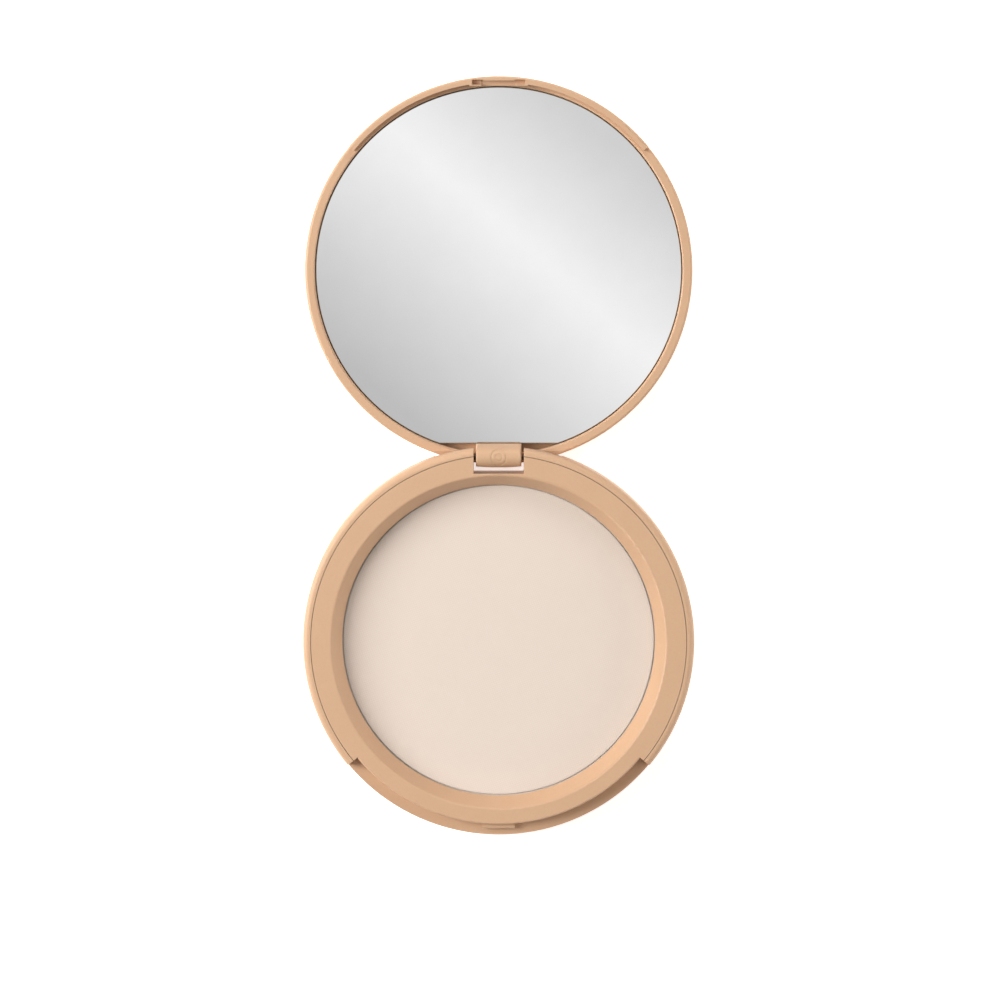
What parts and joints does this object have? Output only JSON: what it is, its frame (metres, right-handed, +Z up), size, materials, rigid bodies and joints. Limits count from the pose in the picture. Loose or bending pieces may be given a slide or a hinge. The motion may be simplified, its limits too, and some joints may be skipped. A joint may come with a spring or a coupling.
{
  "type": "powder compact",
  "caption": "Round pressed-powder compact lying open flat: a nude plastic powder base and a mirror lid joined by a pin hinge, with a snap latch at the front.",
  "frame": {"origin": "centre of the base's flat underside, on the surface it stands on", "axes": "+Z up out of the powder; +X along the hinge pin; +Y from the base towards the open lid, so the front latch faces -Y"},
  "size_m": [0.075, 0.1456, 0.0086],
  "materials": {
    "nude_plastic": "satin moulded plastic, peach nude",
    "pressed_powder": "pressed translucent powder, matte, cloth-pressed surface",
    "pan_metal": "satin pressed pan",
    "pin_steel": "drawn steel pin",
    "mirror_silver": "silvered float glass with a ground edge",
    "adhesive": "double-sided foam adhesive",
    "label_paper": "blank matte label"
  },
  "bodies": {
    "base": {"base_shell": "nude_plastic", "base_frame": "nude_plastic", "powder_pan": "pan_metal", "powder_cake": "pressed_powder", "pan_adhesive": "adhesive", "bottom_label": "label_paper", "hinge_pin": "pin_steel"},
    "lid": {"lid_shell": "nude_plastic", "mirror_glass": "mirror_silver", "mirror_tape": "adhesive"}
  },
  "joints": [
    {"name": "lid_hinge", "type": "hinge", "parent": "base", "child": "lid", "pos_m": [0, 0.0355, 0.0066], "axis": [1, 0, 0], "range_deg": [0, 180]}
  ]
}
